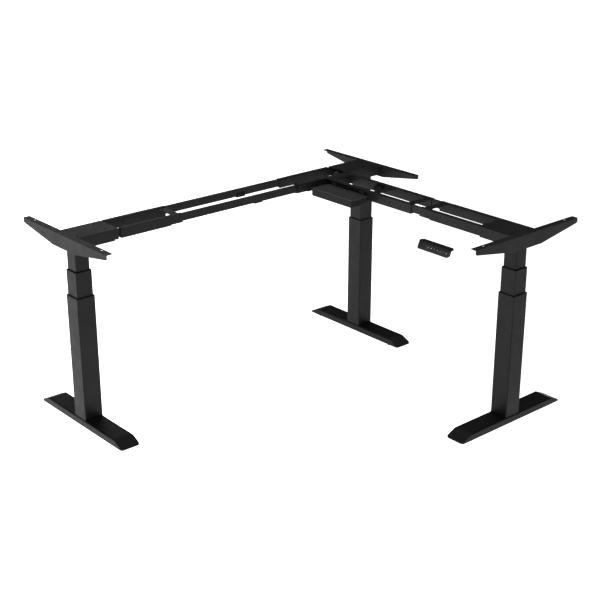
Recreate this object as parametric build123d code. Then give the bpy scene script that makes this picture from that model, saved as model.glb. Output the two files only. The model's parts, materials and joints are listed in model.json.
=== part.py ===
from build123d import *
import math
import os

# Height adjustable L-shaped desk frame: three telescopic electric legs, two arms that
# extend, a control box under the corner and a handset for the table edge.
# World frame: +X along the main arm from the left leg to the corner leg, +Y to the back,
# +Z up, origin at the middle of the footprint on the floor.  Millimetres.

# ---------------------------------------------------------------- plan and heights
MAIN_SPAN = 1503.0          # left column to corner column, along X
SIDE_SPAN = 1083.0          # corner column to right column, along Y
SIDE_INSET = 213.0          # the right column stands this far left of the corner column
FRAME_TOP = 812.0           # top face of the brackets in the pose as modelled
MIDDLE_TOP = 662.0          # top of the middle tubes' collars
OUTER_TOP = 557.0           # top of the outer tubes' collars

# ---------------------------------------------------------------- feet
FOOT_LENGTH = 600.0
FOOT_WIDTH = 87.0
FOOT_TOP = 35.0
FOOT_BASE = 6.0             # lower edge of the skirt
FOOT_SHEET = 3.0
FOOT_SLOPE = 56.0           # length of each sloping end
FOOT_CORNER = 12.0
FOOT_EDGE = 6.5             # rounding of the two long top edges
GLIDE_RADIUS = 13.5
GLIDE_PAD = 5.7
GLIDE_INSET_END = 62.0      # glide centre from the foot's tip
GLIDE_INSET_SIDE = 18.5     # glide centre from the foot's long edge
GLIDE_STEM = 4.0            # radius of the threaded hole for a glide's stem
THREAD_GAP = 0.1

# ---------------------------------------------------------------- telescopic columns
TUBE_WALL = 1.8
OUTER_SIZE = 81.0
MIDDLE_SIZE = 72.0
INNER_SIZE = 62.0
OUTER_CORNER = 3.8
MIDDLE_CORNER = 3.5
INNER_CORNER = 3.2
RUNNING = 0.05              # clearance of a plastic guide on the tube that slides in it
COLLAR_LIP = 3.0
COLLAR_DEPTH = 60.0
MIDDLE_LENGTH = 510.0
INNER_LENGTH = 485.0
BASE_PLATE = 8.0
GLIDER_HEIGHT = 8.0         # plastic glider under the middle tube
GLIDER_PLUG = 15.0          # its plug inside the tube
NUT_PLATE = 12.0

# ---------------------------------------------------------------- lifting screws
SCREW_GAP = 0.3             # radial gap of nuts and sliding shafts
BASE_SCREW_RADIUS = 4.5
BASE_SCREW_TOP = 417.0
BASE_FLANGE = 40.0          # width of the square foot of the fixed screw
SPINDLE_RADIUS = 12.0
SPINDLE_BORE = 8.6
SPINDLE_LENGTH = 503.0
SPINDLE_NUT = 28.0          # length of the nut in the spindle's lower end
SPINDLE_SEAT = 17.0         # radius of the flange that rests on the glider
SEAT_HEIGHT = 6.0
SHAFT_FLATS = 14.0          # hexagon across flats
SHAFT_BORE = 5.2
SHAFT_LENGTH = 425.0
SHAFT_ENTRY = 20.0          # the shaft reaches this far into the head

# ---------------------------------------------------------------- heads and brackets
HEAD_WIDTH = 128.0
HEAD_SHEET = 2.5
HEAD_BOTTOM = FRAME_TOP - 48.0
SHAFT_OPENING = 16.0        # radius of the hole for the shaft in a head's floor
HEAD_REACH = 148.0          # inboard end of a head with lips, from the column centre
HEAD_NOTCH = 18.0           # length of a head's shallower inboard lips; the right head has none
BRACKET_SHEET = 2.5
BRACKET_OUT = 58.5          # outer face of the bracket's web from the column centre
BRACKET_LENGTH = 600.0
BRACKET_DEPTH = 58.0
BRACKET_FLANGE = 28.0
BRACKET_FLAT = 80.0         # half length of the web's level bottom
BRACKET_END_DEPTH = 20.5
BRACKET_END_CORNER = 9.0
TABLE_HOLE_RADIUS = 5.5
TABLE_HOLE_REACH = 240.0    # table screw hole from the bracket's middle
TABLE_HOLE_INSET = 19.0     # and from the web's outer face
GEARBOX_HALF = 33.0
GEARBOX_HEIGHT = 40.0
MOTOR_RADIUS = 18.5
MOTOR_END = 158.0

# ---------------------------------------------------------------- extending arms
ARM_WIDTH = 141.0           # over both tubes of an arm
ARM_TOP = FRAME_TOP - 1.2
ARM_BOTTOM = FRAME_TOP - 41.0
ARM_TUBE = 21.0             # width of one arm tube
ARM_MOUTH = 449.0           # mouth of an arm from its column centre
ARM_START = 157.0           # start of an arm's full section where the head has lips
ARM_EDGE = 2.0              # rounding of a tube's two long top edges
CHEEK_START = -30.0         # start of the cheeks that join the right arm to its head
ARM_END_WALL = 4.0
SLEEVE_LENGTH = 58.0
SLEEVE_DRAWN_IN = 1.4       # the sleeve's outer side behind the tube's
SLEEVE_RAISED = 2.5         # the sleeve's bottom above the tube's
SLEEVE_SKIRT = 4.0          # width of the strip at its inner side that is not raised
STUB_START = 100.0
TIE_SHEET = 3.0
TIE_DROP = 3.0              # top of a tie plate below the top of its tubes
TIE_LENGTH = 34.0
TIE_INSET = 5.0             # tie plate from the mouth
RAIL_WIDTH = 14.0
RAIL_TOP = FRAME_TOP - 3.2
RAIL_HEIGHT = 30.8
RAIL_WALL = 2.0
RAIL_GAP = 0.25             # sliding gap round a rail
MAIN_RAIL_LENGTH = 1005.0
SIDE_MOUTH = 497.0          # mouth of the corner's side arm from the right column centre
MIDDLE_TIE_START = 707.0    # second plate of the side arm, from the right column centre
SIDE_RAIL_START = 200.0
SIDE_RAIL_LENGTH = 645.0
CHANNEL_DEPTH = 28.0        # joining channel between the side arm and the main arm
LOCK_BOLTS = (195.0, 293.0)     # clamping screws along an arm, from its column centre
SIDE_LOCK_HOLES = (557.0, 619.0)    # clamping holes of the side arm, from the right column centre
LOCK_BOLT_RADIUS = 3.0
LOCK_BOLT_DROP = 3.0            # screws sit this far below the rail's middle
CLIP_START = 820.0          # cable clip under a main rail, from the left column centre
CLIP_LENGTH = 43.0
CLIP_DROP = 4.0
CLIP_SHEET = 2.0
CLIP_HEIGHT = 14.0          # upright side of a clip, from the rail's bottom

# ---------------------------------------------------------------- control box, handset
BOX_LENGTH = 251.0
BOX_WIDTH = 98.0
BOX_HEIGHT = 31.0           # height of the case below its lid
BOX_TOP = FRAME_TOP - 22.0  # top of the lid
BOX_BACK = 86.5             # back end of the box in front of the corner's column centre
BOX_WALL = 2.0
BOX_LID = 3.0
BOX_CORNER = 4.0
BOX_RECESS = 1.2            # depth of the connector faces in the box's near end
SOCKET_FIRST = 16.0         # first connector face from the box's outer side
SOCKET_PITCH = 20.0
SOCKET_SIZE = (14.0, 11.0)
SOCKET_DROP = 5.0           # top of a connector face below the case's edge
TAB_PLACES = (30.0, 200.0)  # start of each lid tab from the box's near end
TAB_SIZE = (20.0, 2.5, 12.0)
HANDSET_LENGTH = 156.0
HANDSET_THICK = 11.0        # depth of the handset, measured level
HANDSET_HEIGHT = 25.0
HANDSET_TILT = 22.0         # the face looks this far upwards, in degrees
HANDSET_SLOPE = math.tan(math.radians(HANDSET_TILT))
HANDSET_PLATE = 6.0
HANDSET_PLATE_BACK = 25.2   # back edge of the mount plate from the top of the face
HANDSET_PLATE_FRONT = 4.0   # front edge of the mount plate from the top of the face
HANDSET_WALL = 2.0
HANDSET_CORNER = 8.0
HANDSET_PLATE_CORNER = 11.0
HANDSET_HOLE_REACH = 55.0   # screw hole of the mount plate from its middle
HANDSET_HOLE_RADIUS = 2.2
HANDSET_HOLE_INSET = 6.0    # screw hole from the plate's back edge
DISPLAY_START = 7.0         # display panel from the handset's back end
DISPLAY_SIZE = (30.0, 14.0, 0.6)
BUTTON_NAMES = ("up", "down", "memory_1", "memory_2", "memory_3", "memory_4", "set")
BUTTON_PITCH = 15.0
BUTTON_WIDTH = 11.0
BUTTON_HEIGHT = 11.0
BUTTON_RISE = 2.2           # middle of the keys above the middle of the face
BUTTON_FIRST = 53.0         # first button from the handset's back end
BUTTON_PROUD = 0.6
BUTTON_GAP = 0.3

# ---------------------------------------------------------------- derived places
CORNER_X = (MAIN_SPAN + SIDE_INSET + BRACKET_OUT - FOOT_LENGTH / 2) / 2
CORNER_Y = (SIDE_SPAN + BRACKET_OUT - FOOT_LENGTH / 2) / 2
RIGHT_X = CORNER_X - SIDE_INSET
RIGHT_Y = CORNER_Y - SIDE_SPAN

# Each leg is drawn with its column on the z axis and its arm towards +X, then placed.
LEG_PLACES = {
    "left": Location((CORNER_X - MAIN_SPAN, CORNER_Y, 0), (0, 0, 0)),
    "corner": Location((CORNER_X, CORNER_Y, 0), (0, 0, 180)),
    "right": Location((RIGHT_X, RIGHT_Y, 0), (0, 0, 90)),
}


# ================================================================ basic shapes
def block(x, y, z):
    """Box from three (low, high) pairs."""
    size = (x[1] - x[0], y[1] - y[0], z[1] - z[0])
    return Pos(sum(x) / 2, sum(y) / 2, sum(z) / 2) * Box(*size)


def rod(radius, bottom, top, x=0.0, y=0.0):
    """Upright round bar."""
    return Pos(x, y, (bottom + top) / 2) * Cylinder(radius, top - bottom)


def pillar(size, corner, bottom, top):
    """Upright square bar with rounded corners."""
    return Pos(0, 0, bottom) * extrude(RectangleRounded(size, size, corner), top - bottom)


def square_tube(size, corner, bottom, top):
    """Upright square tube of the column's wall thickness."""
    inside = size - 2 * TUBE_WALL
    return pillar(size, corner, bottom, top) - pillar(inside, corner - TUBE_WALL, bottom, top)


def bar_across(radius, x, z, y):
    """Round bar along Y between the two values of y."""
    return Pos(x, sum(y) / 2, z) * Rot(90, 0, 0) * Cylinder(radius, abs(y[1] - y[0]))


def extrude_along_x(points, low, high):
    """Outline of (y, z) points made solid between two values of x."""
    outline = points if isinstance(points, Sketch) else Polygon(*points, align=None)
    return Pos(low, 0, 0) * extrude(Plane.YZ * outline, high - low, dir=(1, 0, 0))


def both_sides(shape):
    """The shape and its mirror image across the leg's middle plane."""
    return [shape, mirror(shape, Plane.XZ)]


# ================================================================ foot
def foot_block(inset):
    """Solid foot form, drawn in by inset on every face but the bottom one."""
    tip = FOOT_LENGTH / 2
    crease = tip - FOOT_SLOPE
    top = FOOT_TOP - inset
    tip_top = FOOT_BASE + FOOT_SHEET - inset
    floor = FOOT_BASE - inset
    slope = [(tip, tip_top), (crease, top), (-crease, top), (-tip, tip_top)]
    outline = [(-tip, floor), (tip, floor)] + slope
    width = FOOT_WIDTH - 2 * inset
    plan = RectangleRounded(width, FOOT_LENGTH - 2 * inset, FOOT_CORNER - inset)
    form = extrude_along_x(outline, -width / 2, width / 2) & Pos(0, 0, floor) * extrude(plan, FOOT_TOP)
    long_edges = form.edges().filter_by(Axis.Y).group_by(Axis.Z)[-1]
    return fillet(long_edges, FOOT_EDGE - inset)


def glide_places():
    """Centres of the four glides under a foot."""
    x = FOOT_WIDTH / 2 - GLIDE_INSET_SIDE
    y = FOOT_LENGTH / 2 - GLIDE_INSET_END
    return [(x, y), (-x, y), (x, -y), (-x, -y)]


def foot():
    """Folded steel foot: a shell with sloping ends and a threaded boss for each glide."""
    shell = foot_block(0) - foot_block(FOOT_SHEET)
    boss_top = FOOT_TOP - FOOT_SHEET + 0.5
    for x, y in glide_places():
        shell += rod(2 * GLIDE_STEM, FOOT_BASE + FOOT_SHEET, boss_top, x, y)
        shell -= rod(GLIDE_STEM, FOOT_BASE, boss_top - 0.5, x, y)
    return shell


def glides():
    """Four levelling glides: a round pad on a threaded stem."""
    pads = []
    for x, y in glide_places():
        pad = chamfer(rod(GLIDE_RADIUS, 0, GLIDE_PAD).edges(), 1.0)
        stem = rod(GLIDE_STEM - THREAD_GAP, GLIDE_PAD, FOOT_TOP - FOOT_SHEET - 1)
        pads.append(Pos(x, y, 0) * (pad + stem))
    return pads


# ================================================================ telescopic column
def outer_tube():
    """Outer tube with the plate welded into its foot end."""
    tube = square_tube(OUTER_SIZE, OUTER_CORNER, FOOT_TOP, OUTER_TOP - COLLAR_LIP)
    plate = pillar(OUTER_SIZE - TUBE_WALL, OUTER_CORNER - TUBE_WALL, FOOT_TOP, FOOT_TOP + BASE_PLATE)
    return tube + plate


def collar(size, corner, slider, top):
    """Plastic guide in the mouth of a tube: a lip on the edge and a sleeve inside it."""
    cavity = size - 2 * TUBE_WALL
    lip = pillar(size, corner, top - COLLAR_LIP, top)
    sleeve = pillar(cavity, corner - TUBE_WALL, top - COLLAR_LIP - COLLAR_DEPTH, top - COLLAR_LIP)
    hole = slider + 2 * RUNNING
    bottom = top - COLLAR_LIP - COLLAR_DEPTH
    return lip + sleeve - block((-hole / 2, hole / 2), (-hole / 2, hole / 2), (bottom, top))


def outer_collar():
    return collar(OUTER_SIZE, OUTER_CORNER, MIDDLE_SIZE, OUTER_TOP)


def base_screw():
    """Fixed screw that stands on the outer tube's plate."""
    bottom = FOOT_TOP + BASE_PLATE
    flange = pillar(BASE_FLANGE, 4, bottom, bottom + SEAT_HEIGHT)
    return flange + rod(BASE_SCREW_RADIUS, bottom + SEAT_HEIGHT, BASE_SCREW_TOP)


def middle_bottom():
    return MIDDLE_TOP - MIDDLE_LENGTH


def middle_tube():
    return square_tube(MIDDLE_SIZE, MIDDLE_CORNER, middle_bottom(), MIDDLE_TOP - COLLAR_LIP)


def middle_guides():
    """Collar in the middle tube's mouth, and the glider that closes its lower end."""
    upper = collar(MIDDLE_SIZE, MIDDLE_CORNER, INNER_SIZE, MIDDLE_TOP)
    bottom = middle_bottom()
    glider_size = OUTER_SIZE - 2 * TUBE_WALL - 2 * RUNNING
    glider = pillar(glider_size, OUTER_CORNER, bottom - GLIDER_HEIGHT, bottom)
    plug_top = bottom + GLIDER_PLUG
    glider += pillar(MIDDLE_SIZE - 2 * TUBE_WALL, MIDDLE_CORNER - TUBE_WALL, bottom, plug_top)
    glider -= rod(SPINDLE_RADIUS + RUNNING, bottom - GLIDER_HEIGHT, plug_top)
    return [upper, glider]


def spindle():
    """Hollow screw carried by the middle tube: it climbs the fixed screw as it turns."""
    bottom = middle_bottom() + 2
    seat = middle_bottom() + GLIDER_PLUG
    nut_top = bottom + SPINDLE_NUT
    body = rod(SPINDLE_RADIUS, bottom, bottom + SPINDLE_LENGTH)
    body += rod(SPINDLE_SEAT, seat, seat + SEAT_HEIGHT)
    body -= rod(BASE_SCREW_RADIUS + SCREW_GAP, bottom, nut_top)
    return body - rod(SPINDLE_BORE, nut_top, bottom + SPINDLE_LENGTH)


def inner_tube():
    """Inner tube with the nut plate welded into its lower end."""
    bottom = HEAD_BOTTOM - INNER_LENGTH
    tube = square_tube(INNER_SIZE, INNER_CORNER, bottom, HEAD_BOTTOM)
    plate = pillar(INNER_SIZE - TUBE_WALL, INNER_CORNER - TUBE_WALL, bottom, bottom + NUT_PLATE)
    return tube + plate - rod(SPINDLE_RADIUS + SCREW_GAP, bottom, bottom + NUT_PLATE)


def drive_shaft():
    """Hollow hexagonal shaft that turns the spindle and slides inside it."""
    top = HEAD_BOTTOM + SHAFT_ENTRY
    hexagon = RegularPolygon(SHAFT_FLATS / 2, 6, major_radius=False) - Circle(SHAFT_BORE)
    return Pos(0, 0, top - SHAFT_LENGTH) * extrude(hexagon, SHAFT_LENGTH)


# ================================================================ head, motor, bracket
def head(reach):
    """Folded steel box on top of the column, open towards the arm, with lips beyond the notch."""
    half = HEAD_WIDTH / 2
    web = -BRACKET_OUT + BRACKET_SHEET
    flange_end = -BRACKET_OUT + BRACKET_FLANGE
    notch = HEAD_REACH - HEAD_NOTCH
    bottom = (HEAD_BOTTOM, HEAD_BOTTOM + HEAD_SHEET)
    top = (FRAME_TOP - HEAD_SHEET, FRAME_TOP)
    shell = block((web, notch), (-half, half), bottom)
    shell -= rod(SHAFT_OPENING, *bottom)
    shell += block((flange_end, reach), (-half, half), top)
    shell += block((web, web + HEAD_SHEET), (-half, half), (HEAD_BOTTOM, top[0]))
    for side in both_sides(block((web, notch), (half - HEAD_SHEET, half), (HEAD_BOTTOM, top[0]))):
        shell += side
    if reach > notch:
        lip = block((notch, reach), (half - HEAD_SHEET, half), (HEAD_BOTTOM + 4, top[0]))
        for side in both_sides(lip):
            shell += side
    return shell


def gear_motor():
    """Worm gearbox over the column with its motor lying towards the arm."""
    floor = HEAD_BOTTOM + HEAD_SHEET
    middle = floor + MOTOR_RADIUS + 1
    sides = (-GEARBOX_HALF, GEARBOX_HALF)
    gearbox = block(sides, sides, (floor, floor + GEARBOX_HEIGHT))
    gearbox = fillet(gearbox.edges().filter_by(Axis.Z), 6)
    can = Cylinder(MOTOR_RADIUS, MOTOR_END - GEARBOX_HALF)
    can = chamfer(can.edges().group_by(Axis.Z)[-1], 2)
    gearbox += Pos((MOTOR_END + GEARBOX_HALF) / 2, 0, middle) * Rot(0, 90, 0) * can
    shaft_corner = SHAFT_FLATS / 3 ** 0.5
    return gearbox - rod(shaft_corner + SCREW_GAP, floor, HEAD_BOTTOM + SHAFT_ENTRY + 1)


def bracket():
    """Angle that carries the table top: a tapered web with a flange along its top."""
    half = BRACKET_LENGTH / 2
    outer = -BRACKET_OUT
    low = FRAME_TOP - BRACKET_DEPTH
    end_low = FRAME_TOP - BRACKET_END_DEPTH
    outline = Polygon(
        (-half, FRAME_TOP), (-half, end_low), (-BRACKET_FLAT, low),
        (BRACKET_FLAT, low), (half, end_low), (half, FRAME_TOP), align=None)
    ends = outline.vertices().group_by(Axis.Y)[1]
    outline = fillet(ends, BRACKET_END_CORNER)
    web = extrude_along_x(outline, outer, outer + BRACKET_SHEET)
    flange = block((outer, outer + BRACKET_FLANGE), (-half, half), (FRAME_TOP - BRACKET_SHEET, FRAME_TOP))
    corners = flange.edges().filter_by(Axis.Z).group_by(Axis.X)[-1]
    flange = fillet(corners, 6)
    angle = web + flange
    fold = angle.edges().filter_by(Axis.Y).group_by(Axis.X)[0].group_by(Axis.Z)[-1]
    angle = fillet(fold, 1.5)
    for y in (-TABLE_HOLE_REACH, TABLE_HOLE_REACH):
        angle -= rod(TABLE_HOLE_RADIUS, FRAME_TOP - BRACKET_SHEET, FRAME_TOP, outer + TABLE_HOLE_INSET, y)
    return angle


# ================================================================ arms
def rail_cavity(start, end):
    """The space that a rail slides in, on the +Y side of an arm."""
    outside = ARM_WIDTH / 2 - (ARM_TUBE - RAIL_WIDTH) / 2
    y = (outside - RAIL_WIDTH - RAIL_GAP, outside + RAIL_GAP)
    return block((start, end), y, (RAIL_TOP - RAIL_HEIGHT - RAIL_GAP, RAIL_TOP + RAIL_GAP))


def round_top(tube):
    """Tube with its long top edges rounded."""
    return fillet(tube.edges().filter_by(Axis.X).group_by(Axis.Z)[-1], ARM_EDGE)


def arm_tube_outside(start, end):
    """Outer form of one arm tube."""
    y = (ARM_WIDTH / 2 - ARM_TUBE, ARM_WIDTH / 2)
    return round_top(block((start, end), y, (ARM_BOTTOM, ARM_TOP)))


def sleeve_outside(start, end):
    """Outer form of the thinner sleeve at a tube's mouth."""
    inner = ARM_WIDTH / 2 - ARM_TUBE
    outer = ARM_WIDTH / 2 - SLEEVE_DRAWN_IN
    sleeve = round_top(block((start, end), (inner, outer), (ARM_BOTTOM, ARM_TOP)))
    return sleeve - block((start, end), (inner + SLEEVE_SKIRT, outer), (ARM_BOTTOM, ARM_BOTTOM + SLEEVE_RAISED))


def lock_holes(places):
    """Screw holes through the outer wall of the tube on the +Y side."""
    middle = RAIL_TOP - RAIL_HEIGHT / 2 - LOCK_BOLT_DROP
    wall = (ARM_WIDTH / 2 - ARM_TUBE / 2, ARM_WIDTH / 2)
    return [bar_across(LOCK_BOLT_RADIUS, x, middle, wall) for x in places]


def tie_plate(start, length):
    """Plate between the two tubes of an arm, a little below their tops."""
    inside = ARM_WIDTH / 2 - ARM_TUBE + 2
    top = ARM_TOP - TIE_DROP
    return block((start, start + length), (-inside, inside), (top - TIE_SHEET, top))


def leg_arm(start):
    """Arm welded to a leg: two stepped tubes from start on, tied by a plate at their mouths."""
    mouth = ARM_MOUTH
    step = mouth - SLEEVE_LENGTH
    stub_sides = (ARM_WIDTH / 2 - ARM_TUBE + 1, HEAD_WIDTH / 2 - HEAD_SHEET)
    tube = block((STUB_START, start), stub_sides, (ARM_BOTTOM + 3, ARM_TOP - 3))
    tube += arm_tube_outside(start, step)
    tube += sleeve_outside(step, mouth)
    tube -= rail_cavity(ARM_START + ARM_END_WALL, mouth)
    for hole in lock_holes(LOCK_BOLTS):
        tube -= hole
    near, far = both_sides(tube)
    return near + far + tie_plate(mouth - TIE_INSET - TIE_LENGTH, TIE_LENGTH)


def cheek(end):
    """Plate along the +Y side of a head, flush with the arm tube that it carries."""
    plate = block((CHEEK_START, end), (HEAD_WIDTH / 2, ARM_WIDTH / 2), (ARM_BOTTOM, ARM_TOP))
    outer_top = plate.edges().filter_by(Axis.X).group_by(Axis.Z)[-1].sort_by(Axis.Y)[-1]
    return fillet(outer_top, ARM_EDGE)


def corner_side_arm():
    """Side arm at the corner: two tubes, three ties and the channel that joins the main arm."""
    end = SIDE_SPAN - ARM_WIDTH / 2
    back = end - CHANNEL_DEPTH
    tube = arm_tube_outside(SIDE_MOUTH, back) - rail_cavity(SIDE_MOUTH, back)
    for hole in lock_holes(SIDE_LOCK_HOLES):
        tube -= hole
    near, far = both_sides(tube)
    arm = near + far
    arm += tie_plate(SIDE_MOUTH + TIE_INSET, TIE_LENGTH)
    arm += tie_plate(MIDDLE_TIE_START, TIE_LENGTH)
    y = (-ARM_WIDTH / 2, ARM_WIDTH / 2)
    channel = block((back, end), y, (ARM_BOTTOM, ARM_TOP))
    channel -= block((back + HEAD_SHEET, end), (y[0], y[1]), (ARM_BOTTOM + HEAD_SHEET, ARM_TOP - HEAD_SHEET))
    return arm + channel


def rails(start, length):
    """Two inner rails of an arm."""
    outside = ARM_WIDTH / 2 - (ARM_TUBE - RAIL_WIDTH) / 2
    rail = block((start, start + length), (outside - RAIL_WIDTH, outside), (RAIL_TOP - RAIL_HEIGHT, RAIL_TOP))
    rail -= block(
        (start, start + length), (outside - RAIL_WIDTH + RAIL_WALL, outside - RAIL_WALL),
        (RAIL_TOP - RAIL_HEIGHT + RAIL_WALL, RAIL_TOP - RAIL_WALL))
    return both_sides(rail)


def rail_clips():
    """Plastic cable clips under the two main rails."""
    outside = ARM_WIDTH / 2 - (ARM_TUBE - RAIL_WIDTH) / 2
    bottom = RAIL_TOP - RAIL_HEIGHT
    x = (CLIP_START, CLIP_START + CLIP_LENGTH)
    inside = outside - RAIL_WIDTH
    clip = block(x, (inside - CLIP_SHEET, outside), (bottom - CLIP_DROP, bottom))
    clip += block(x, (inside - CLIP_SHEET, inside), (bottom, bottom + CLIP_HEIGHT))
    return both_sides(clip)


def lock_bolts(places):
    """Grub screws that clamp the rails, in the outer walls of both tubes."""
    middle = RAIL_TOP - RAIL_HEIGHT / 2 - LOCK_BOLT_DROP
    outer = ARM_WIDTH / 2 - 0.8
    inner = ARM_WIDTH / 2 - (ARM_TUBE - RAIL_WIDTH) / 2 + RAIL_GAP
    bolts = []
    for x in places:
        screw = bar_across(LOCK_BOLT_RADIUS, x, middle, (inner, outer))
        socket = Pos(x, outer, middle) * Rot(90, 0, 0) * extrude(RegularPolygon(1.5, 6), 1.5)
        bolts += both_sides(screw - socket)
    return bolts


# ================================================================ control box
def control_box_place():
    """Near end and inner side of the control box, as for the right leg."""
    return SIDE_SPAN - BOX_BACK - BOX_LENGTH, ARM_WIDTH / 2


def control_box_case():
    """Moulded tray with four connector faces in its near end."""
    near, inner = control_box_place()
    outer = inner + BOX_WIDTH
    high = BOX_TOP - BOX_LID
    low = high - BOX_HEIGHT
    tray = block((near, near + BOX_LENGTH), (inner, outer), (low, high))
    tray = fillet(tray.edges().filter_by(Axis.Z), BOX_CORNER)
    tray = chamfer(tray.faces().sort_by(Axis.Z)[0].edges(), 1.5)
    tray -= block(
        (near + BOX_WALL, near + BOX_LENGTH - BOX_WALL), (inner + BOX_WALL, outer - BOX_WALL),
        (low + BOX_WALL, high))
    for slot in range(4):
        middle = outer - SOCKET_FIRST - SOCKET_PITCH * slot
        y = (middle - SOCKET_SIZE[0] / 2, middle + SOCKET_SIZE[0] / 2)
        tray -= block((near, near + BOX_RECESS), y, (high - SOCKET_DROP - SOCKET_SIZE[1], high - SOCKET_DROP))
    return tray


def control_box_lid():
    """Steel lid with two tabs that hold the box to the side arm's outer face."""
    near, inner = control_box_place()
    lid = block((near, near + BOX_LENGTH), (inner, inner + BOX_WIDTH), (BOX_TOP - BOX_LID, BOX_TOP))
    lid = fillet(lid.edges().filter_by(Axis.Z), BOX_CORNER)
    for start in TAB_PLACES:
        x = (near + start, near + start + TAB_SIZE[0])
        lid += block(x, (inner, inner + TAB_SIZE[1]), (BOX_TOP, BOX_TOP + TAB_SIZE[2]))
    return lid


# ================================================================ handset
def handset_place():
    """Back end of the handset along X, top of its face along Y and its top, as for the right leg."""
    return 165.0, 368.2, FRAME_TOP


def handset_face(shape):
    """Shape drawn on the handset's face: y out of the face, z up the slope, x along the desk."""
    back, face, top = handset_place()
    middle = HANDSET_HEIGHT / 2
    centre = (0, face + middle * HANDSET_SLOPE, top - HANDSET_PLATE - middle)
    return Location(centre, (HANDSET_TILT, 0, 0)) * shape


def button_places():
    """Distance of each button's centre along the handset."""
    back = handset_place()[0]
    return [back - BUTTON_FIRST - i * BUTTON_PITCH for i in range(len(BUTTON_NAMES))]


def slab(x, inset, floor):
    """Leaning slab of the handset's section between two values of x, drawn in by inset."""
    face, top = handset_place()[1:]
    high = top - HANDSET_PLATE
    low = high - HANDSET_HEIGHT + floor
    lean = (HANDSET_HEIGHT - floor) * HANDSET_SLOPE
    front = face - inset
    back = face - HANDSET_THICK + inset
    return extrude_along_x([(front, high), (front + lean, low), (back + lean, low), (back, high)], *x)


def handset_case():
    """Moulded slab, open at the top, with a window for each button and a shallow display panel."""
    back = handset_place()[0]
    front = back - HANDSET_LENGTH
    shell = slab((front, back), 0, 0)
    lower = shell.edges().filter_by(Axis.Y).group_by(Axis.Z)[0]
    shell = fillet(lower, HANDSET_CORNER)
    wall = HANDSET_WALL / math.cos(math.radians(HANDSET_TILT))
    shell -= slab((front + HANDSET_CORNER / 2, back - HANDSET_CORNER / 2), wall, HANDSET_CORNER / 2)
    half_width = BUTTON_WIDTH / 2 + BUTTON_GAP
    height = (BUTTON_RISE - BUTTON_HEIGHT / 2 - BUTTON_GAP, BUTTON_RISE + BUTTON_HEIGHT / 2 + BUTTON_GAP)
    for x in button_places():
        window = block((x - half_width, x + half_width), (-HANDSET_WALL, 0), height)
        shell -= handset_face(window)
    length, height, depth = DISPLAY_SIZE
    x = (back - DISPLAY_START - length, back - DISPLAY_START)
    return shell - handset_face(block(x, (-depth, 0), (-height / 2, height / 2)))


def handset_mount_plate():
    """Top plate of the handset with two screw holes for the table's underside."""
    back, face, top = handset_place()
    x = (back - HANDSET_LENGTH - 3, back + 1)
    plate = block(x, (face - HANDSET_PLATE_BACK, face + HANDSET_PLATE_FRONT), (top - HANDSET_PLATE, top))
    plate = fillet(plate.edges().filter_by(Axis.Z), HANDSET_PLATE_CORNER)
    middle = back - HANDSET_LENGTH / 2
    y = face - HANDSET_PLATE_BACK + HANDSET_HOLE_INSET
    for offset in (-HANDSET_HOLE_REACH, HANDSET_HOLE_REACH):
        plate -= rod(HANDSET_HOLE_RADIUS, top - HANDSET_PLATE, top, middle + offset, y)
    return plate


def handset_button(x):
    """Key cap with a flange behind the handset's wall."""
    back_of_wall = -HANDSET_WALL - 0.1
    low = BUTTON_RISE - BUTTON_HEIGHT / 2
    high = BUTTON_RISE + BUTTON_HEIGHT / 2
    cap = block((x - BUTTON_WIDTH / 2, x + BUTTON_WIDTH / 2), (back_of_wall, BUTTON_PROUD), (low, high))
    cap = fillet(cap.edges().filter_by(Axis.Y), 1.5)
    flange = block(
        (x - BUTTON_WIDTH / 2 - 1, x + BUTTON_WIDTH / 2 + 1), (back_of_wall - 1.2, back_of_wall),
        (low - 1, high + 1))
    return handset_face(cap + flange)


# ================================================================ assembly
def leg_nodes():
    """Sub-parts that every leg has, drawn about its own column."""
    return {
        "foot": foot(), "glides": glides(), "outer_tube": outer_tube(), "outer_collar": outer_collar(),
        "base_screw": base_screw(), "middle_tube": middle_tube(), "middle_guides": middle_guides(),
        "spindle": spindle(), "inner_tube": inner_tube(), "drive_shaft": drive_shaft(),
        "gear_motor": gear_motor(), "bracket": bracket(), "arm_screws": lock_bolts(LOCK_BOLTS),
    }


def head_nodes(leg):
    """A leg's head and arm. The right leg's head has no lips: cheeks join its arm instead."""
    if leg != "right":
        return {"head": head(HEAD_REACH), "arm": leg_arm(ARM_START)}
    end = HEAD_REACH - HEAD_NOTCH
    arm = leg_arm(end)
    for side in both_sides(cheek(end)):
        arm += side
    return {"head": head(end), "arm": arm}


def right_frame_nodes():
    """Sub-parts laid out from the right column: side arm, control box and handset."""
    nodes = {
        "corner_side_arm": corner_side_arm(),
        "side_rails": rails(SIDE_RAIL_START, SIDE_RAIL_LENGTH),
        "control_box_case": control_box_case(),
        "control_box_lid": control_box_lid(),
        "handset_case": handset_case(),
        "handset_mount_plate": handset_mount_plate(),
    }
    for name, x in zip(BUTTON_NAMES, button_places()):
        nodes["button_" + name] = handset_button(x)
    return nodes


def main_rail_nodes():
    """Sub-parts laid out from the left column: the main arm's rails and their clips."""
    start = (MAIN_SPAN - MAIN_RAIL_LENGTH) / 2
    return {"main_rails": rails(start, MAIN_RAIL_LENGTH), "main_rail_clips": rail_clips()}


def save(name, shape, place):
    """Write one node, one STEP file, at its place in the desk."""
    solids = shape if isinstance(shape, list) else [shape]
    solids = [place * solid for solid in solids]
    whole = Compound(children=[s for solid in solids for s in solid.solids()])
    export_step(whole, "parts/" + name + ".step")


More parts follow.
